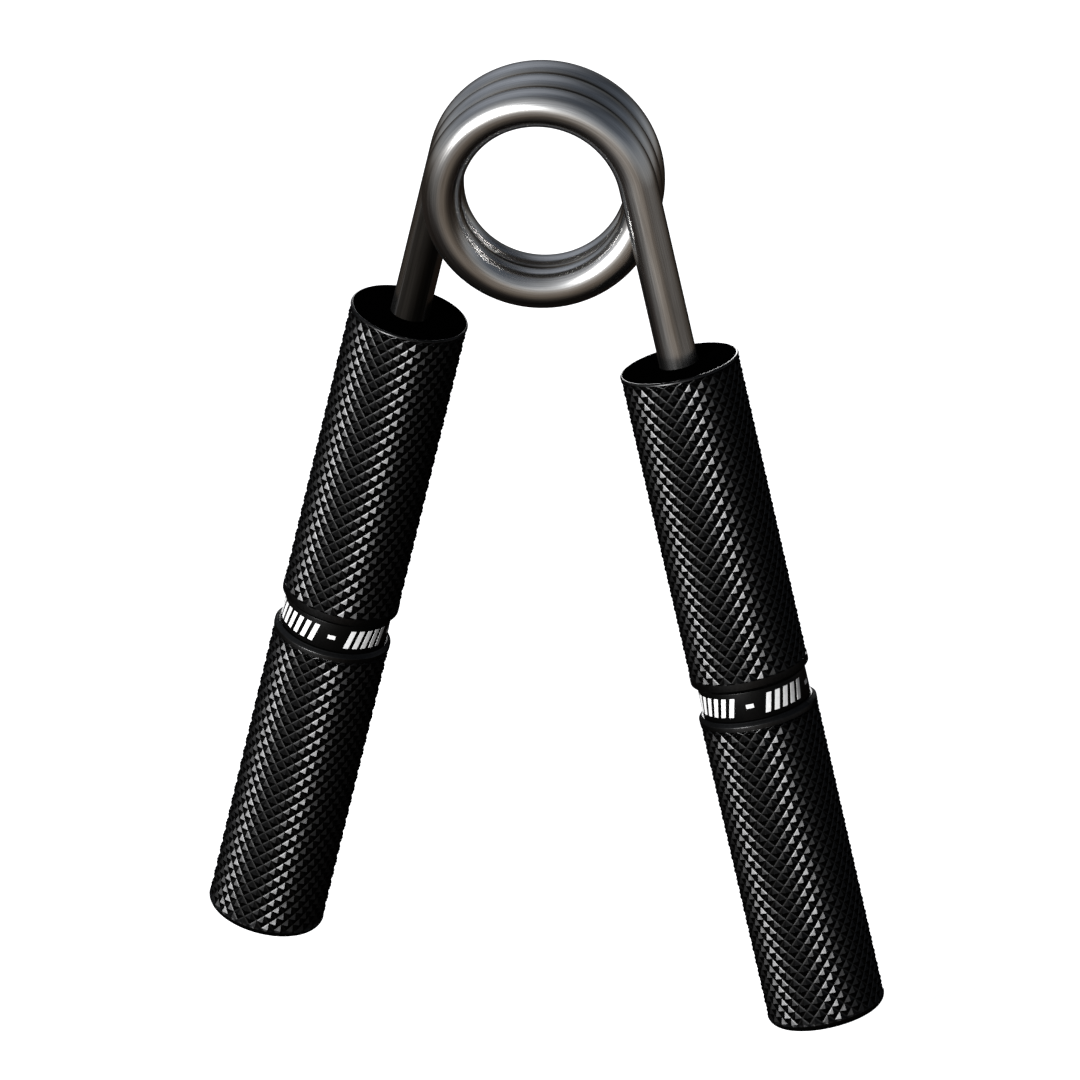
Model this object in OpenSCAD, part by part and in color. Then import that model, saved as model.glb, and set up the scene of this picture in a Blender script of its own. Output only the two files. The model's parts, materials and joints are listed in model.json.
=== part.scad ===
// Hand grip strengthener: a steel torsion spring with two straight legs, and a turned handle on each leg.
// The hinge line is the coil's axis, along Y. Z = 0 is the surface that the two handles stand on.
// The left leg leaves the coil at the back (+Y) and the right leg at the front (-Y), so the right side
// is the left side turned half a turn about Z.

/* [Spring] */
// Diameter of the spring wire
wire_d = 6.5; // [5.6:0.05:6.5]
// Diameter of the coil, measured to the middle of the wire
coil_d = 33; // [30:0.1:38]
// Distance along the coil's axis from one turn to the next
coil_pitch = 6.6; // [6.6:0.05:8]
// Whole turns in the coil, besides what the two legs add
coil_turns = 2; // [1:1:4]
// Angle in degrees that each leg leans out from upright
lean = 12.9; // [6:0.1:20]
// Length of leg in the open, from the coil to the handle
leg_free = 31; // [22:0.5:45]
// Length of leg inside the handle
leg_set = 72; // [50:1:90]

/* [Handle] */
// Diameter over the crests of the grip
handle_d = 20; // [19:0.1:26]
// Length of a handle
handle_len = 116; // [105:0.5:130]
// Rounding of the top rim
rim_round = 0.4; // [0.2:0.1:1]
// Rounding of the free end
end_round = 1.6; // [0.5:0.1:3]

/* [Label groove] */
// Distance from the top of the handle to the groove
groove_top = 54.6; // [45:0.1:60]
// Width of the groove between its two outer edges
groove_w = 6.2; // [5.5:0.1:10]
// Depth of the groove under the label
groove_depth = 1.3; // [0.8:0.1:1.6]
// Chamfer on both sides of the groove
groove_bevel = 0.5; // [0.2:0.1:0.6]
// Thickness of the label ring
label_t = 0.4; // [0.2:0.05:0.6]
// Height of the printed marks
mark_h = 3.3; // [2:0.1:4]
// Thickness of the printed marks
mark_t = 0.06; // [0.05:0.01:0.2]

/* [Set screw] */
// Thread diameter
screw_d = 4; // [3:0.5:4]
// Length of the screw
screw_len = 5; // [4:0.5:5]
// Size of the hexagon socket across its flats
socket_af = 2; // [1.5:0.5:2]
// Depth of the spot drilled in the leg for the screw's point
spot_depth = 0.4; // [0.2:0.1:0.8]

/* [Hidden] */
$fn = 64;
wire_r = wire_d / 2;
coil_r = coil_d / 2;
handle_r = handle_d / 2;
// The wire climbs at this angle along the coil, and the straight legs go on in the same direction.
climb = atan(coil_pitch / (PI * coil_d));
coil_start = 180 - lean;
coil_sweep = coil_turns * 360 + 180 - 2 * lean;
coil_depth = coil_pitch * coil_sweep / 360;
// The part of one unit of leg that is upright, and the part that isn't.
leg_down = cos(lean) * cos(climb);
leg_aside = sqrt(1 - leg_down * leg_down);
end_reach = (leg_free + handle_len - end_round) * leg_down;
// Height of the hinge line that puts the lowest point of the handles' rounded ends at Z = 0.
hinge_z = end_reach + (handle_r - end_round) * leg_aside + end_round - coil_r * sin(lean);
ring_step = 10;
ring_sides = 16;
ring_count = ceil(coil_sweep / ring_step);
bore_clearance = 0.02;
// The bore goes on past the end of the leg by this much.
bore_spare = 2;
bore_depth = leg_set + bore_spare;
leg_end_bevel = 0.5;
floor_r = handle_r - groove_depth;
label_r = floor_r + label_t;
label_gap = 0.1;
groove_mid = groove_top + groove_w / 2;
label_h = groove_w - 2 * (groove_bevel + label_gap);
round_steps = 12;
screw_r = screw_d / 2;
screw_clearance = 0.01;
point_r = 1.2;
point_h = 0.8;
screw_tip = wire_r - spot_depth;
socket_depth = 2;
// The marks follow a pattern of slots that fits twice round the label: a dash, short bars, a dash, bars.
slot_angle = 10;
half_turn_slots = 180 / slot_angle;
dash_slots = [0, 8];
bar_slots = [2, 3, 4, 5, 6, 10, 11, 12, 13, 14, 15, 16];
bar_w = 0.85;
bar_slant = 14;
dash_w = 1.3;
dash_h = 0.7;
// How far a shape that cuts another reaches past the surface that it opens.
over = 1;

// Middle of the wire at angle a round the coil, where 0 is to the right and 90 is up.
function coil_point(a) = [coil_r * cos(a), coil_depth * ((a - coil_start) / coil_sweep + 0.5),
    hinge_z + coil_r * sin(a)];
// Unit vectors across the wire: away from the coil's axis, and square to that and to the wire.
function wire_out(a) = [cos(a), 0, sin(a)];
function wire_side(a) = [sin(climb) * sin(a), cos(climb), -sin(climb) * cos(a)];
function wire_ring(a) = [for (j = [0 : ring_sides - 1]) let (t = j * 360 / ring_sides)
    coil_point(a) + wire_r * (cos(t) * wire_out(a) + sin(t) * wire_side(a))];
// Points of a rounded corner round centre c, from angle a0 to a1.
function corner(c, r, a0, a1) = [for (i = [0 : round_steps]) let (a = a0 + (a1 - a0) * i / round_steps)
    [c[0] + r * cos(a), c[1] + r * sin(a)]];

// Puts a piece that is modelled with the left leg's wire along Z, its coil end at Z = 0, in its place.
module on_left_leg() {
    translate(coil_point(coil_start)) rotate([climb, lean, 0]) children();
}

module on_right_leg() {
    rotate([0, 0, 180]) on_left_leg() children();
}

module coil() {
    last = ring_sides - 1;
    rings = [for (i = [0 : ring_count]) wire_ring(coil_start - coil_sweep * i / ring_count)];
    points = [for (ring = rings) each ring];
    sides = [for (i = [0 : ring_count - 1], j = [0 : last])
        let (k = (j + 1) % ring_sides, a = i * ring_sides, b = a + ring_sides)
        each [[a + j, b + j, b + k], [a + j, b + k, a + k]]];
    start_cap = [for (j = [0 : last]) j];
    end_cap = [for (j = [0 : last]) ring_count * ring_sides + last - j];
    polyhedron(points, concat(sides, [start_cap, end_cap]));
}

module leg() {
    length = leg_free + leg_set;
    difference() {
        union() {
            translate([0, 0, leg_end_bevel - length]) cylinder(h = length - leg_end_bevel, r = wire_r);
            translate([0, 0, -length]) cylinder(h = leg_end_bevel, r1 = wire_r - leg_end_bevel, r2 = wire_r);
        }
        at_screw() cylinder(h = wire_r, r = point_r);
    }
}

// Puts a piece whose axis is Z on the set screw's line, with Z = 0 at the screw's point.
module at_screw() {
    translate([-screw_tip, 0, -leg_free - groove_mid]) rotate([0, -90, 0]) children();
}

module grip() {
    low = -handle_len;
    groove_end = groove_top + groove_w;
    outline = concat(
        [[0, 0]],
        corner([handle_r - rim_round, -rim_round], rim_round, 90, 0),
        [[handle_r, -groove_top], [handle_r - groove_bevel, -groove_top - groove_bevel],
            [floor_r, -groove_top - groove_bevel], [floor_r, groove_bevel - groove_end],
            [handle_r - groove_bevel, groove_bevel - groove_end], [handle_r, -groove_end]],
        corner([handle_r - end_round, low + end_round], end_round, 0, -90),
        [[0, low]]);
    difference() {
        translate([0, 0, -leg_free]) difference() {
            rotate_extrude() polygon(outline);
            translate([0, 0, -bore_depth]) cylinder(h = bore_depth + over, r = wire_r + bore_clearance);
        }
        at_screw() cylinder(h = handle_r, r = screw_r + screw_clearance);
    }
}

module set_screw() {
    at_screw() difference() {
        union() {
            cylinder(h = point_h, r = point_r);
            translate([0, 0, point_h]) cylinder(h = screw_len - point_h, r = screw_r);
        }
        translate([0, 0, screw_len - socket_depth])
            cylinder(h = socket_depth + over, r = socket_af / sqrt(3), $fn = 6);
    }
}

module label_tube(r_in, r_out, h) {
    translate([0, 0, -leg_free - groove_mid - h / 2]) difference() {
        cylinder(h = h, r = r_out);
        translate([0, 0, -over]) cylinder(h = h + 2 * over, r = r_in);
    }
}

// A block that reaches out past the label at a slot. Slot 0 faces the front, and slant tips the block sideways.
module mark_block(slot, w, h, slant) {
    rotate([0, 0, slot * slot_angle]) translate([0, -label_r, -leg_free - groove_mid]) rotate([0, slant, 0])
        cube([w, label_r, h], center = true);
}

module marks() {
    intersection() {
        label_tube(label_r, label_r + mark_t, mark_h);
        for (half = [0, half_turn_slots]) {
            for (slot = dash_slots) mark_block(half + slot, dash_w, dash_h, 0);
            for (slot = bar_slots) mark_block(half + slot, bar_w, 2 * mark_h, bar_slant);
        }
    }
}

module spring_coil() {
    color("dimgray") coil();
}

module spring_leg_left() {
    color("gray") on_left_leg() leg();
}

module spring_leg_right() {
    color("gray") on_right_leg() leg();
}

module handle_left() {
    color([0.08, 0.08, 0.09]) on_left_leg() grip();
}

module handle_right() {
    color([0.08, 0.08, 0.09]) on_right_leg() grip();
}

module set_screw_left() {
    color("slategray") on_left_leg() set_screw();
}

module set_screw_right() {
    color("slategray") on_right_leg() set_screw();
}

module label_band_left() {
    color([0.12, 0.12, 0.12]) on_left_leg() label_tube(floor_r, label_r, label_h);
}

module label_band_right() {
    color([0.12, 0.12, 0.12]) on_right_leg() label_tube(floor_r, label_r, label_h);
}

module band_marks_left() {
    color("white") on_left_leg() marks();
}

module band_marks_right() {
    color("white") on_right_leg() marks();
}

spring_coil();
spring_leg_left();
spring_leg_right();
handle_left();
handle_right();
set_screw_left();
set_screw_right();
label_band_left();
label_band_right();
band_marks_left();
band_marks_right();
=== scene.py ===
"""Hand grip strengthener: its looks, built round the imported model. Lengths are in metres."""
import json
import math

import bpy
from mathutils import Matrix, Vector


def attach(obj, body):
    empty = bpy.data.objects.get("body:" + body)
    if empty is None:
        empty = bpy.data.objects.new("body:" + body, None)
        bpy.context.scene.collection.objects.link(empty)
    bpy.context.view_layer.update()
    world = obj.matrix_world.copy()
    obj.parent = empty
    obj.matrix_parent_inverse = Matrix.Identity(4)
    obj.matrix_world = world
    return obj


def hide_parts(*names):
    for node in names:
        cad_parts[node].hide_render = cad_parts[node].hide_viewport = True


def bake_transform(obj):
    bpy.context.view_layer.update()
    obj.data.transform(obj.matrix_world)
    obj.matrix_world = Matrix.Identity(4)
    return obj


MM = 0.001
SIDES = ("left", "right")

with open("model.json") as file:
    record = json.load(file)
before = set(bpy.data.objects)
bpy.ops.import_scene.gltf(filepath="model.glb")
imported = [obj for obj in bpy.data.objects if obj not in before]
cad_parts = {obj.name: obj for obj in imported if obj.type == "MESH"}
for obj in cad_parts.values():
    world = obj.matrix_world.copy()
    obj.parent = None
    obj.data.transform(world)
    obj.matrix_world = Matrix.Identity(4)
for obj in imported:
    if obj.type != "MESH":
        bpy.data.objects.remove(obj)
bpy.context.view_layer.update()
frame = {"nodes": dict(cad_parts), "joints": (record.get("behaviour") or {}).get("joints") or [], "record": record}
MOUNTS = {m["name"]: m for m in frame["record"]["mounts"]}
HINGE = Vector(frame["joints"][0]["pos_m"])

# Sizes of the wire and the handles, as in the CAD. Places along a handle are distances from its top.
WIRE_R = 3.25 * MM
COIL_R = 16.5 * MM
COIL_PITCH = 6.6 * MM
COIL_TURNS = 2
LEG_FREE = 31 * MM
LEG_SET = 72 * MM
LEG_END_BEVEL = 0.5 * MM
HANDLE_R = 10 * MM
HANDLE_LEN = 116 * MM
BORE_R = 3.27 * MM
BORE_DEPTH = 74 * MM
BORE_BEVEL = 0.06 * MM
RIM_ROUND = 0.4 * MM
END_ROUND = 1.6 * MM
GROOVE_TOP = 54.6 * MM
GROOVE_W = 6.2 * MM
GROOVE_BEVEL = 0.5 * MM
GROOVE_EDGE_ROUND = 0.15 * MM
GROOVE_FLOOR_R = 8.7 * MM
LABEL_R = 9.1 * MM
LABEL_H = 5.0 * MM
LABEL_EDGE_ROUND = 0.1 * MM

# Unit vectors down the legs, how far a leg leans out from upright, and how steeply the wire climbs.
LEG_DOWN = {side: Vector(MOUNTS["end_" + side]["axis"]).normalized() for side in SIDES}
LEAN = math.atan2(-LEG_DOWN["left"].x, -LEG_DOWN["left"].z)
CLIMB = math.asin(LEG_DOWN["left"].y)
# The angle that the coil turns through between the two legs, and the length of wire in it and in one turn.
COIL_SWEEP = (2 * COIL_TURNS + 1) * math.pi - 2 * LEAN
TURN_LENGTH = math.hypot(2 * math.pi * COIL_R, COIL_PITCH)
COIL_LENGTH = TURN_LENGTH * COIL_SWEEP / (2 * math.pi)

# How finely the wire and the label rings are built.
COIL_STEPS = 290
LEG_STEPS = 35
WIRE_SIDES = 48
LABEL_SIDES = 128
# Edges steeper than this, in degrees, are shaded sharp.
SHARP_ANGLE = 40
KNURL_SHARP_ANGLE = 24

# Painted shade: the wire's colour is painted dark where two turns touch. It starts and is full at these sines
# of the angle round the wire, and fades out over this length of wire past the place where the next turn ends.
CREASE_START = 0.66
CREASE_FULL = 0.81
CREASE_FADE = 12 * MM

# The knurl: diamonds round the handle, length of half a diamond, depth, and where its two fields lie.
# The first half-row of each field is cut short. At the groove a field runs out to the full radius.
DIAMONDS = 28
HALF_ROW = 1.185 * MM
FIRST_HALF_ROW = 0.5 * MM
KNURL_DEPTH = 0.38 * MM
RUN_OUT = 0.12 * MM
UPPER_START = 0.52 * MM
UPPER_ROWS = 45
LOWER_START = 61.75 * MM
LOWER_ROWS = 45
# Rings round each diamond's tip: distance from the tip, where 1 is the groove line, and height, where 1
# is the tip.
DIAMOND_RINGS = ((0.91, 0.04), (0.7, 0.24), (0.35, 0.64), (0.08, 0.965))
# The part of a diamond beyond this distance from its tip belongs to the groove.
GROOVE_EDGE = 0.9
# The steps from a diamond's tip to the crossings round it, as half-diamonds round and along the handle.
WAYS = ((1, 0), (0, 1), (-1, 0), (0, -1))
# How much light each part of a handle reflects: the knurl's grooves and facets, the turned sides, the ends.
GROOVE_GLOSS, FACET_GLOSS, TURNED_GLOSS, END_GLOSS = 0.042, 0.0175, 0.035, 0.006

# The camera. Azimuths and elevations are in degrees, and azimuth 0 is the front and 90 the right.
CAMERA_AZIMUTH = 3.9
CAMERA_ELEVATION = 22.3
CAMERA_DISTANCE = 1.939
CAMERA_AIM = Vector((-0.0006, 0, 0.07864))
CAMERA_LENS = 388.1

# The two lamps: where each is, and their common distance, size, power in watts and aim.
KEY_AZIMUTH = -33
KEY_ELEVATION = 18
BACK_AZIMUTH = 184
BACK_ELEVATION = 12
LAMP_DISTANCE = 1.5
LAMP_SIZE = (0.62, 0.44)
LAMP_POWER = 46
LAMP_AIM = Vector((0, 0, 0.08))
# The floor: half its width, and how far it lies below the handles' ends at rest.
FLOOR_SIZE = 8
SWING_ROOM = 8.6 * MM
# The studio's colour by height, where 0 is straight down, 0.5 is level and 1 is straight up.
SKY = ((0.0, (0.002, 0.0015, 0.001)), (0.25, (0.012, 0.008, 0.006)), (0.38, (0.02, 0.015, 0.011)),
       (0.46, (0.07, 0.057, 0.046)), (0.53, (0.25, 0.245, 0.24)), (0.64, (0.25, 0.265, 0.285)),
       (0.76, (0.1, 0.115, 0.14)), (1.0, (0.04, 0.047, 0.06)))
# The studio is darker round this azimuth and elevation, between these cosines of the angle from it.
DIM_SIDE = (180, 20)
DIM_EDGES = (0.45, 0.85)
DIM_STOPS = ((0.0, (1, 1, 1)), (1.0, (0.25, 0.25, 0.25)))
# Soft glows in the studio: azimuth, elevation, cosine of the angle where it ends, and colour.
GLOWS = ((-33, 30, 0.4, (0.4, 0.4, 0.4)), (-150, 48, 0.6, (0.3, 0.32, 0.36)),
         (4, -18, 0.72, (0.14, 0.115, 0.092)))


def mesh_object(name, points, faces, smooth_angle):
    """A new object with these points and faces, shaded smooth but for edges over smooth_angle degrees."""
    mesh = bpy.data.meshes.new(name)
    mesh.from_pydata([tuple(p) for p in points], [], faces)
    mesh.validate()
    mesh.update()
    obj = bpy.data.objects.new(name, mesh)
    bpy.context.scene.collection.objects.link(obj)
    mesh.shade_smooth()
    mesh.set_sharp_from_angle(angle=math.radians(smooth_angle))
    return obj


def store(obj, name, kind, values):
    """Keeps a value for each point of the mesh, for the materials. kind is FLOAT or FLOAT_VECTOR."""
    layer = obj.data.attributes.new(name, kind, "POINT")
    layer.data.foreach_set("value" if kind == "FLOAT" else "vector", values)


def clamped(value):
    return min(max(value, 0), 1)


def leg_matrix(side):
    """Takes a leg's own space, with the wire along Z and the coil at Z = 0, to the row frame."""
    end = Vector(MOUNTS["end_" + side]["pos_m"])
    start = end - LEG_DOWN[side] * (LEG_FREE + HANDLE_LEN)
    half_turn = Matrix.Rotation(math.pi if side == "right" else 0, 4, "Z")
    spin = half_turn @ Matrix.Rotation(LEAN, 4, "Y") @ Matrix.Rotation(CLIMB, 4, "X")
    return Matrix.Translation(start) @ spin


# ---------------------------------------------------------------- spring

def coil_ring(share):
    """The wire's ring at this share of the coil, from its left end at 0 to its right end at 1."""
    angle = math.pi - LEAN - COIL_SWEEP * share
    depth = COIL_PITCH * COIL_SWEEP / (2 * math.pi)
    centre = HINGE + Vector((COIL_R * math.cos(angle), depth * (0.5 - share), COIL_R * math.sin(angle)))
    out = Vector((math.cos(angle), 0, math.sin(angle)))
    side = Vector((math.sin(CLIMB) * math.sin(angle), math.cos(CLIMB), -math.sin(CLIMB) * math.cos(angle)))
    return centre, out, side, COIL_LENGTH * share


def leg_rings(ring, down, sign):
    """Rings down a leg from the coil's end. sign is 1 where the length along the wire grows down the leg."""
    centre, out, side, length = ring
    reach = LEG_FREE + LEG_SET - LEG_END_BEVEL
    marks = [reach * i / LEG_STEPS for i in range(1, LEG_STEPS + 1)]
    return [(centre + down * d, out, side, length + sign * d) for d in marks]


def wire_rings():
    """Each ring of the wire, from the left leg's end to the right leg's end: its centre, its outward and
    sideways unit vectors, and its distance along the wire from the start of the coil."""
    coil = [coil_ring(i / COIL_STEPS) for i in range(COIL_STEPS + 1)]
    left = leg_rings(coil[0], LEG_DOWN["left"], -1)
    right = leg_rings(coil[-1], LEG_DOWN["right"], 1)
    return left[::-1] + coil + right


def touching(length, back):
    """How close a point of the wire is to the next turn, from 0 to 1. length is its distance along the wire
    from the coil's start, and back is 1 on the wire's +Y side and -1 on its -Y side."""
    behind, ahead = length - TURN_LENGTH, COIL_LENGTH - TURN_LENGTH - length
    near = behind if back > 0 else ahead
    reach = clamped(near / CREASE_FADE + 1)
    return reach * clamped((abs(back) - CREASE_START) / (CREASE_FULL - CREASE_START))


def round_wire(centre, out, side, radius):
    turns = [2 * math.pi * j / WIRE_SIDES for j in range(WIRE_SIDES)]
    return [centre + radius * (math.cos(a) * out + math.sin(a) * side) for a in turns]


def build_spring():
    """The whole spring as one smooth wire, with a bevel at each end."""
    rings = wire_rings()
    points, faces, lengths = [], [], []
    for centre, out, side, length in rings:
        points += round_wire(centre, out, side, WIRE_R)
        lengths += [length] * WIRE_SIDES
    for i in range(len(rings) - 1):
        a, b = i * WIRE_SIDES, (i + 1) * WIRE_SIDES
        for j in range(WIRE_SIDES):
            k = (j + 1) % WIRE_SIDES
            faces.append((a + j, b + j, b + k, a + k))
    for ring_number, leg in ((0, "left"), (len(rings) - 1, "right")):
        centre, out, side, length = rings[ring_number]
        base, start = ring_number * WIRE_SIDES, len(points)
        points += round_wire(centre + LEG_DOWN[leg] * LEG_END_BEVEL, out, side, WIRE_R - LEG_END_BEVEL)
        lengths += [length] * WIRE_SIDES
        end_faces = [(base + j, base + (j + 1) % WIRE_SIDES, start + (j + 1) % WIRE_SIDES, start + j)
                     for j in range(WIRE_SIDES)]
        end_faces.append(tuple(start + j for j in range(WIRE_SIDES)))
        faces += end_faces if leg == "left" else [face[::-1] for face in end_faces]
    spring = mesh_object("spring_wire", points, faces, SHARP_ANGLE)
    turns = [2 * math.pi * (v % WIRE_SIDES) / WIRE_SIDES for v in range(len(points))]
    # Painted shade: this mask darkens the wire's colour where two turns touch.
    store(spring, "crease_shade", "FLOAT", [touching(d, math.sin(a)) for d, a in zip(lengths, turns)])
    store(spring, "wire_grain", "FLOAT_VECTOR",
          [c for a, d in zip(turns, lengths)
           for c in (WIRE_R / MM * math.cos(a), WIRE_R / MM * math.sin(a), d / MM)])
    return spring


# ---------------------------------------------------------------- handle

class Shell:
    """Points and faces of a handle. A point is given by its angle, where 0 is the leg space's -Y, by t, its
    distance from the handle's top, and by its radius."""

    def __init__(self):
        self.points = []
        self.faces = []
        self.smooth = []
        self.gloss = []

    def add(self, angle, t, radius, gloss):
        self.points.append((radius * math.sin(angle), -radius * math.cos(angle), -t))
        self.gloss.append(gloss)
        return len(self.points) - 1

    def add_face(self, corners, smooth):
        self.faces.append(corners)
        self.smooth.append(smooth)

    def circle(self, angles, t, radius):
        """Adds a ring of points, which are duller on the two flat ends and in the bore."""
        turned_side = 0 < t < HANDLE_LEN and radius > BORE_R + MM
        return [self.add(a, t, radius, TURNED_GLOSS if turned_side else END_GLOSS) for a in angles]

    def strip(self, above, below, smooth=True):
        """Joins two rings with a band of faces."""
        n = len(above)
        for i in range(n):
            k = (i + 1) % n
            self.add_face((above[i], below[i], below[k], above[k]), smooth)


def row_place(start, y):
    """Distance along the handle of half-row y of the knurl field that begins at start."""
    return start + (y * FIRST_HALF_ROW if y < 1 else FIRST_HALF_ROW + (y - 1) * HALF_ROW)


def add_knurl(shell, start, rows):
    """Adds a field of pyramids, and returns the points and the angles of its upper and lower edges."""
    step = math.pi / DIAMONDS
    low = HANDLE_R - KNURL_DEPTH
    crossings = {}

    def crossing(x, y):
        """The point where the grooves cross, shared by the four diamonds round it."""
        key = (x % (2 * DIAMONDS), y)
        if key not in crossings:
            crossings[key] = shell.add(x * step, row_place(start, y), low, GROOVE_GLOSS)
        return crossings[key]

    # Where a diamond's points on a half-row lie, from its left crossing to just before its right one.
    far = [1] + [f for f, _ in DIAMOND_RINGS]
    spots = [-f for f in far] + [0] + far[:0:-1]
    edges = {0: [], rows: []}
    for y in range(rows + 1):
        for x in range(y % 2, 2 * DIAMONDS, 2):
            tip = shell.add(x * step, row_place(start, y), HANDLE_R, FACET_GLOSS)
            shown = [w for w in range(4) if 0 <= y + WAYS[w][1] <= rows]
            rings = [{w: crossing(x + WAYS[w][0], y + WAYS[w][1]) for w in shown}]
            for distance, height in DIAMOND_RINGS:
                radius = low + KNURL_DEPTH * height
                gloss = GROOVE_GLOSS if distance > GROOVE_EDGE else FACET_GLOSS
                rings.append({w: shell.add((x + distance * WAYS[w][0]) * step,
                                           row_place(start, y + distance * WAYS[w][1]), radius, gloss)
                              for w in shown})
            for w in shown:
                n = (w + 1) % 4
                if n not in shown:
                    continue
                for outer, inner in zip(rings, rings[1:]):
                    shell.add_face((outer[w], inner[w], inner[n], outer[n]), False)
                shell.add_face((rings[-1][w], tip, rings[-1][n]), False)
            if y in edges:
                line = [ring[2] for ring in rings] + [tip] + [ring[0] for ring in rings[:0:-1]]
                edges[y] += [(v, (x + spot) * step) for v, spot in zip(line, spots)]
    return [([v for v, _ in edges[y]], [a for _, a in edges[y]]) for y in (0, rows)]


def corner(t, radius, size, first, last, steps):
    """Points of a rounded corner, as (t, radius). Angle 0 is outwards and 90 is towards the free end."""
    turn = [math.radians(first + (last - first) * i / steps) for i in range(steps + 1)]
    return [(t + size * math.sin(a), radius + size * math.cos(a)) for a in turn]


def groove_profile():
    """Outline of the groove, as (t, radius), from its upper edge to its lower edge."""
    size = GROOVE_EDGE_ROUND
    foot = 0.02 * MM
    wall, bevel_r = GROOVE_TOP + GROOVE_BEVEL, HANDLE_R - GROOVE_BEVEL
    upper = corner(GROOVE_TOP - size, HANDLE_R - size, size, 0, 45, 2)
    # The bevel, its blunted foot, and the wall down to the floor.
    upper += [(wall - size, bevel_r + foot), (wall, bevel_r - size), (wall, GROOVE_FLOOR_R)]
    middle = GROOVE_TOP + GROOVE_W / 2
    return upper + [(2 * middle - t, radius) for t, radius in upper[::-1]]


def build_handle_shell():
    """A handle as one closed surface: bore, top rim, knurl, groove, knurl and rounded free end. The flat ends
    have a ring or two more than their outline needs, so that their faces aren't too long."""
    shell = Shell()
    upper_top, upper_low = add_knurl(shell, UPPER_START, UPPER_ROWS)
    lower_top, lower_low = add_knurl(shell, LOWER_START, LOWER_ROWS)

    loop, angles = upper_top
    profile = corner(RIM_ROUND, HANDLE_R - RIM_ROUND, RIM_ROUND, 0, -90, 5)
    profile += [(0, BORE_R + 0.5 * MM), (0, BORE_R + BORE_BEVEL), (BORE_BEVEL, BORE_R), (BORE_DEPTH, BORE_R)]
    for t, radius in profile:
        ring = shell.circle(angles, t, radius)
        shell.strip(ring, loop)
        loop = ring
    shell.add_face(tuple(loop), False)

    loop, angles = upper_low
    upper_end = row_place(UPPER_START, UPPER_ROWS)
    profile = [(upper_end + RUN_OUT, HANDLE_R)] + groove_profile() + [(LOWER_START - RUN_OUT, HANDLE_R)]
    for i, (t, radius) in enumerate(profile):
        ring = shell.circle(angles, t, radius)
        shell.strip(loop, ring, i > 0)
        loop = ring
    shell.strip(loop, lower_top[0], False)

    loop, angles = lower_low
    profile = corner(HANDLE_LEN - END_ROUND, HANDLE_R - END_ROUND, END_ROUND, 10, 90, 8)
    profile += [(HANDLE_LEN, 4 * MM), (HANDLE_LEN, 0.5 * MM)]
    for i, (t, radius) in enumerate(profile):
        ring = shell.circle(angles, t, radius)
        shell.strip(loop, ring, i > 0)
        loop = ring
    shell.add_face(tuple(loop[::-1]), False)
    return shell


def turned(name, profile):
    """A closed ring turned from a closed profile of (t, radius) points, in handle space."""
    points, faces = [], []
    n = len(profile)
    for i in range(LABEL_SIDES):
        a = 2 * math.pi * i / LABEL_SIDES
        points += [(r * math.sin(a), -r * math.cos(a), -t) for t, r in profile]
    for i in range(LABEL_SIDES):
        a, b = i * n, (i + 1) % LABEL_SIDES * n
        for j in range(n):
            k = (j + 1) % n
            faces.append((a + j, a + k, b + k, b + j))
    return mesh_object(name, points, faces, SHARP_ANGLE)


def handle_mouth(side):
    """Takes handle space, with the handle's top at Z = 0, to the row frame."""
    return leg_matrix(side) @ Matrix.Translation((0, 0, -LEG_FREE))


def build_handles():
    shell = build_handle_shell()
    radii = [math.hypot(x, y) for x, y, z in shell.points]
    made = {}
    for side in SIDES:
        obj = mesh_object("handle_" + side + "_knurled", shell.points, shell.faces, KNURL_SHARP_ANGLE)
        store(obj, "crest", "FLOAT", [clamped(1 - (HANDLE_R - r) / KNURL_DEPTH) for r in radii])
        store(obj, "gloss", "FLOAT", shell.gloss)
        obj.data.polygons.foreach_set("use_smooth", shell.smooth)
        obj.data.transform(handle_mouth(side))
        made[side] = obj
    return made


def build_labels():
    middle = GROOVE_TOP + GROOVE_W / 2
    top, low = middle - LABEL_H / 2, middle + LABEL_H / 2
    edge = LABEL_EDGE_ROUND
    profile = [(top, GROOVE_FLOOR_R)]
    profile += corner(top + edge, LABEL_R - edge, edge, -90, 0, 3)
    profile += corner(low - edge, LABEL_R - edge, edge, 0, 90, 3)
    profile += [(low, GROOVE_FLOOR_R)]
    made = {}
    for side in SIDES:
        obj = turned("label_ring_" + side, profile)
        obj.data.transform(handle_mouth(side))
        made[side] = obj
    return made


# ---------------------------------------------------------------- materials

def material(name, color, metallic, roughness):
    """A new material with plain values, some of which a texture replaces afterwards."""
    mat = bpy.data.materials.new(name)
    mat.use_nodes = True
    shader = mat.node_tree.nodes["Principled BSDF"]
    shader.inputs["Base Color"].default_value = (*color, 1)
    shader.inputs["Metallic"].default_value = metallic
    shader.inputs["Roughness"].default_value = roughness
    return mat, mat.node_tree, shader


def coordinates(tree, kind):
    return tree.nodes.new("ShaderNodeTexCoord").outputs[kind]


def attribute(tree, name, output):
    node = tree.nodes.new("ShaderNodeAttribute")
    node.attribute_name = name
    return node.outputs[output]


def stretched(tree, vector, scale):
    node = tree.nodes.new("ShaderNodeMapping")
    node.inputs["Scale"].default_value = scale
    tree.links.new(vector, node.inputs["Vector"])
    return node.outputs["Vector"]


def noise(tree, vector, scale, detail=4, roughness=0.6):
    node = tree.nodes.new("ShaderNodeTexNoise")
    node.inputs["Scale"].default_value = scale
    node.inputs["Detail"].default_value = detail
    node.inputs["Roughness"].default_value = roughness
    tree.links.new(vector, node.inputs["Vector"])
    return node.outputs["Fac"]


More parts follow.
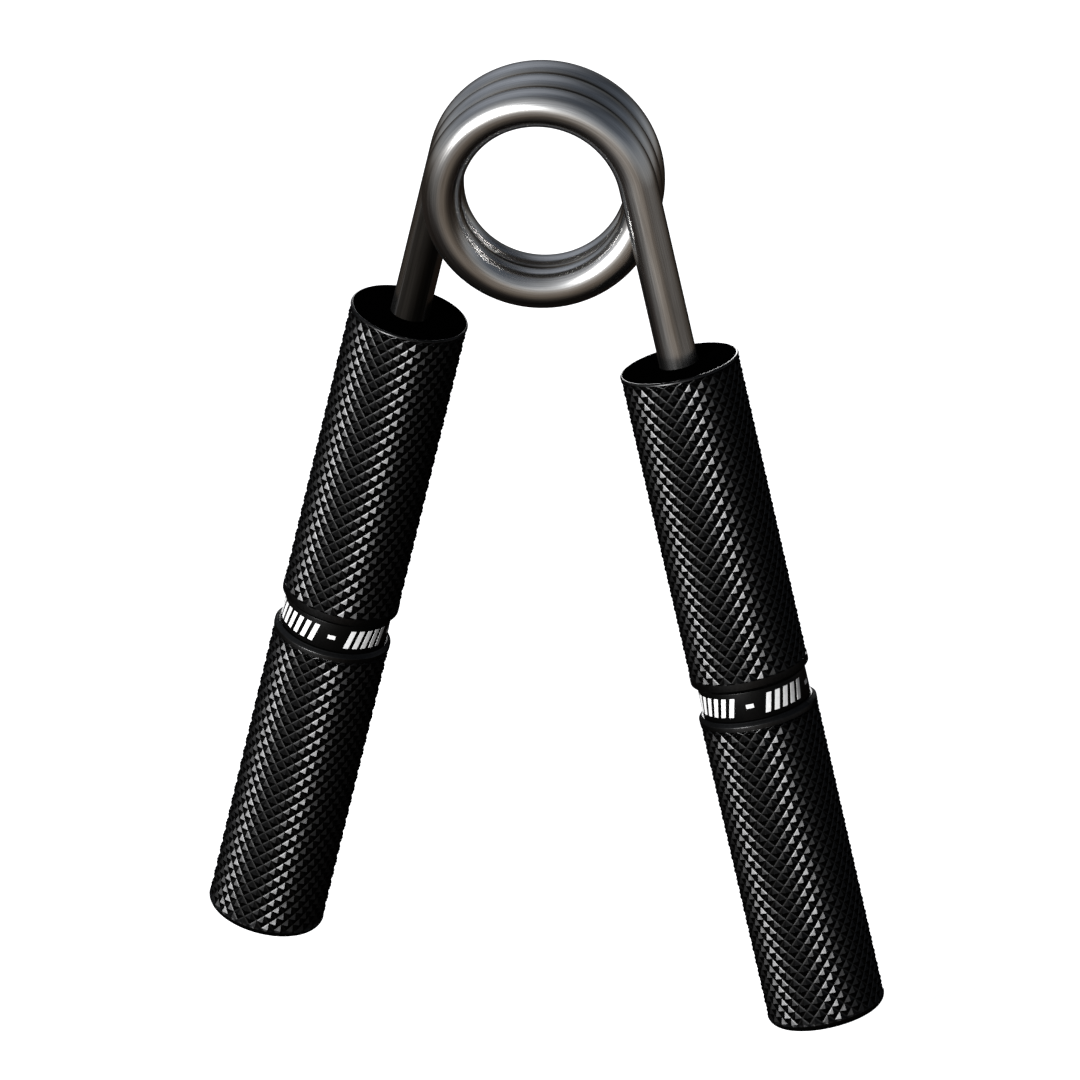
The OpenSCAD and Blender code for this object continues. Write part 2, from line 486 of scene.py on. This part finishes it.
def mapped(tree, value, low, high, to_low, to_high):
    node = tree.nodes.new("ShaderNodeMapRange")
    for name, number in (("From Min", low), ("From Max", high), ("To Min", to_low), ("To Max", to_high)):
        node.inputs[name].default_value = number
    tree.links.new(value, node.inputs["Value"])
    return node.outputs["Result"]


def ramp(tree, value, stops):
    """Colours by value. stops are (value, (r, g, b))."""
    node = tree.nodes.new("ShaderNodeValToRGB")
    elements = node.color_ramp.elements
    while len(elements) < len(stops):
        elements.new(0.5)
    for element, (spot, color) in zip(elements, stops):
        element.position = spot
        element.color = (*color, 1)
    tree.links.new(value, node.inputs["Fac"])
    return node.outputs["Color"]


def mixed(tree, blend, a, b):
    """Two colours put together. blend is MULTIPLY or ADD."""
    node = tree.nodes.new("ShaderNodeMix")
    node.data_type = "RGBA"
    node.blend_type = blend
    node.inputs["Factor"].default_value = 1
    tree.links.new(a, node.inputs["A"])
    tree.links.new(b, node.inputs["B"])
    return node.outputs["Result"]


def added(tree, a, b):
    node = tree.nodes.new("ShaderNodeMath")
    node.operation = "ADD"
    tree.links.new(a, node.inputs[0])
    tree.links.new(b, node.inputs[1])
    return node.outputs["Value"]


def add_bump(tree, shader, height, strength, distance):
    node = tree.nodes.new("ShaderNodeBump")
    node.inputs["Strength"].default_value = strength
    node.inputs["Distance"].default_value = distance
    tree.links.new(height, node.inputs["Height"])
    tree.links.new(node.outputs["Normal"], shader.inputs["Normal"])


def steel_material():
    """Polished spring steel, with faint lines along the wire and painted shade darkening its colour in the creases
    between the turns.
    """
    mat, tree, shader = material("dark_polished_steel", (0.5, 0.49, 0.48), 1.0, 0.15)
    grain = attribute(tree, "wire_grain", "Vector")
    crease_shade = attribute(tree, "crease_shade", "Fac")
    lines = noise(tree, stretched(tree, grain, (1, 1, 0.02)), 4.0, 5, 0.6)
    patches = noise(tree, stretched(tree, grain, (1, 1, 0.4)), 0.35, 3, 0.5)
    tone = ramp(tree, patches, [(0.3, (0.73, 0.72, 0.705)), (0.7, (0.83, 0.825, 0.815))])
    # Painted shade: the wire's colour is painted dark where two turns touch.
    dark = ramp(tree, crease_shade, [(0.0, (1, 1, 1)), (0.55, (0.12, 0.11, 0.1)), (1.0, (0.02, 0.018, 0.016))])
    streaks = ramp(tree, lines, [(0.35, (0.8, 0.8, 0.8)), (0.62, (1, 1, 1))])
    base = mixed(tree, "MULTIPLY", mixed(tree, "MULTIPLY", tone, streaks), dark)
    tree.links.new(base, shader.inputs["Base Color"])
    polish = mapped(tree, lines, 0.3, 0.7, 0.18, 0.23)
    tree.links.new(added(tree, polish, mapped(tree, crease_shade, 0, 1, 0, 0.25)), shader.inputs["Roughness"])
    add_bump(tree, shader, lines, 0.05, 0.005 * MM)
    return mat


def handle_material():
    """Black anodised metal. The knurl's grooves and the turned sides are glossier than its facets."""
    mat, tree, shader = material("black_anodised", (0.02, 0.02, 0.02), 1.0, 0.35)
    place = coordinates(tree, "Object")
    crest = attribute(tree, "crest", "Fac")
    gloss = attribute(tree, "gloss", "Fac")
    # The flat ends mirror less at low angles than the rest does. Only END_GLOSS is below both of these stops.
    low_angle = ramp(tree, gloss, [(0.007, (0, 0, 0)), (0.015, (0.45, 0.45, 0.45))])
    tree.links.new(low_angle, shader.inputs["Specular Tint"])
    wear = ramp(tree, noise(tree, place, 1800, 3, 0.6), [(0.3, (0.8, 0.8, 0.8)), (0.7, (1.15, 1.15, 1.17))])
    base = mixed(tree, "MULTIPLY", attribute(tree, "gloss", "Color"), wear)
    tree.links.new(base, shader.inputs["Base Color"])
    fine = noise(tree, place, 9000, 3, 0.6)
    tree.links.new(mapped(tree, fine, 0.3, 0.7, 0.29, 0.39), shader.inputs["Roughness"])
    height = added(tree, crest, mapped(tree, fine, 0, 1, 0, 0.03))
    add_bump(tree, shader, height, 1.0, 0.08 * MM)
    return mat


def label_material():
    """Satin black film, with the faint grain of plastic."""
    mat, tree, shader = material("black_label_film", (0.0006, 0.0006, 0.0006), 0.0, 0.36)
    shader.inputs["Specular IOR Level"].default_value = 0.13
    fine = noise(tree, coordinates(tree, "Object"), 4000, 4, 0.6)
    tree.links.new(mapped(tree, fine, 0.3, 0.7, 0.32, 0.42), shader.inputs["Roughness"])
    add_bump(tree, shader, fine, 0.1, 0.01 * MM)
    return mat


def print_material():
    """White print, a little uneven as ink on film is."""
    mat, tree, shader = material("white_print", (0.82, 0.82, 0.82), 0.0, 0.5)
    blots = noise(tree, coordinates(tree, "Object"), 1500, 4, 0.6)
    tone = ramp(tree, blots, [(0.3, (0.6, 0.6, 0.6)), (0.6, (0.7, 0.7, 0.7))])
    tree.links.new(tone, shader.inputs["Base Color"])
    return mat


def screw_material():
    """Black oxide steel."""
    mat, tree, shader = material("black_oxide_steel", (0.05, 0.05, 0.055), 1.0, 0.35)
    fine = noise(tree, coordinates(tree, "Object"), 3000, 4, 0.6)
    tree.links.new(mapped(tree, fine, 0.3, 0.7, 0.3, 0.45), shader.inputs["Roughness"])
    return mat


def paint(obj, mat):
    obj.data.materials.clear()
    obj.data.materials.append(mat)


# ---------------------------------------------------------------- stage

def build_floor():
    """A white floor that the object doesn't mirror. It lies a little below the handles' ends, because the
    right handle's end swings down past its height at rest as the two handles close."""
    mesh = bpy.data.meshes.new("floor")
    signs = ((-1, -1), (1, -1), (1, 1), (-1, 1))
    corners = [(x * FLOOR_SIZE, y * FLOOR_SIZE, -SWING_ROOM) for x, y in signs]
    mesh.from_pydata(corners, [], [(0, 1, 2, 3)])
    floor = bpy.data.objects.new("floor", mesh)
    bpy.context.scene.collection.objects.link(floor)
    mat, tree, shader = material("floor_white", (0.85, 0.85, 0.85), 0.0, 0.8)
    shader.inputs["Emission Color"].default_value = (1, 1, 1, 1)
    shader.inputs["Emission Strength"].default_value = 0.85
    paint(floor, mat)
    floor.visible_glossy = False
    floor.visible_diffuse = False


def direction(azimuth, elevation):
    """Unit vector for an azimuth, 0 to the front and 90 to the right, and an elevation, both in degrees."""
    a, e = math.radians(azimuth), math.radians(elevation)
    return Vector((math.sin(a) * math.cos(e), -math.cos(a) * math.cos(e), math.sin(e)))


def add_lamp(name, azimuth, elevation):
    """A soft oval lamp that looks at the object from this side."""
    lamp = bpy.data.lights.new(name, "AREA")
    lamp.shape = "ELLIPSE"
    lamp.size, lamp.size_y = LAMP_SIZE
    lamp.energy = LAMP_POWER
    # Without this, the light that goes from turn to turn of the shiny coil is only noise.
    lamp.cycles.max_bounces = 0
    obj = bpy.data.objects.new(name, lamp)
    bpy.context.scene.collection.objects.link(obj)
    way = direction(azimuth, elevation)
    obj.location = LAMP_AIM + way * LAMP_DISTANCE
    obj.rotation_euler = way.to_track_quat("Z", "Y").to_euler()
    return obj


def light_only(lamp, lit):
    """Keeps this lamp's light on the objects in lit."""
    group = bpy.data.collections.new("lit_from_" + lamp.name)
    for obj in lit:
        group.objects.link(obj)
    lamp.light_linking.receiver_collection = group


def build_camera():
    way = direction(CAMERA_AZIMUTH, CAMERA_ELEVATION)
    data = bpy.data.cameras.new("camera")
    data.sensor_width = 36
    data.lens = CAMERA_LENS
    data.clip_end = 50
    camera = bpy.data.objects.new("camera", data)
    bpy.context.scene.collection.objects.link(camera)
    camera.location = CAMERA_AIM + way * CAMERA_DISTANCE
    camera.rotation_euler = way.to_track_quat("Z", "Y").to_euler()
    bpy.context.scene.camera = camera


def facing(tree, way, target, low, high):
    """0 to 1 as the cosine of the angle between way and target goes from low to high."""
    node = tree.nodes.new("ShaderNodeVectorMath")
    node.operation = "DOT_PRODUCT"
    node.inputs[1].default_value = target
    tree.links.new(way, node.inputs[0])
    return mapped(tree, node.outputs["Value"], low, high, 0, 1)


def build_world():
    """A plain studio that the object mirrors: grey-blue above, pale at eye level, dark brown below and
    dimmer at the back, with soft glows."""
    world = bpy.data.worlds.new("studio")
    bpy.context.scene.world = world
    world.use_nodes = True
    tree = world.node_tree
    way = coordinates(tree, "Generated")
    split = tree.nodes.new("ShaderNodeSeparateXYZ")
    tree.links.new(way, split.inputs["Vector"])
    sky = ramp(tree, mapped(tree, split.outputs["Z"], -1, 1, 0, 1), SKY)
    behind = ramp(tree, facing(tree, way, direction(*DIM_SIDE), *DIM_EDGES), DIM_STOPS)
    light = mixed(tree, "MULTIPLY", sky, behind)
    for azimuth, elevation, edge, color in GLOWS:
        stops = ((0.0, (0, 0, 0)), (0.5, [c * 0.2 for c in color]), (1.0, color))
        glow = ramp(tree, facing(tree, way, direction(azimuth, elevation), edge, 1.0), stops)
        light = mixed(tree, "ADD", light, glow)
    tree.links.new(light, tree.nodes["Background"].inputs["Color"])


def main():
    build_camera()
    build_world()
    add_lamp("key", KEY_AZIMUTH, KEY_ELEVATION)
    back_lamp = add_lamp("back", BACK_AZIMUTH, BACK_ELEVATION)
    build_floor()
    bpy.context.scene.view_settings.view_transform = "Standard"

    steel, metal = steel_material(), handle_material()
    film, ink, screw = label_material(), print_material(), screw_material()

    spring = build_spring()
    paint(spring, steel)
    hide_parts("spring_coil", "spring_leg_left", "spring_leg_right")
    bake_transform(spring)

    handles, labels = build_handles(), build_labels()
    for side in SIDES:
        body = side + "_side"
        paint(handles[side], metal)
        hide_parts("handle_" + side)
        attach(handles[side], body)
        paint(labels[side], film)
        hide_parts("label_band_" + side)
        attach(labels[side], body)
        paint(frame["nodes"]["band_marks_" + side], ink)
        paint(frame["nodes"]["set_screw_" + side], screw)

    # The back lamp is for the handles in views from behind, and would be too bright on the steel.
    marks = [frame["nodes"]["band_marks_" + side] for side in SIDES]
    light_only(back_lamp, [*handles.values(), *labels.values(), *marks])


main()
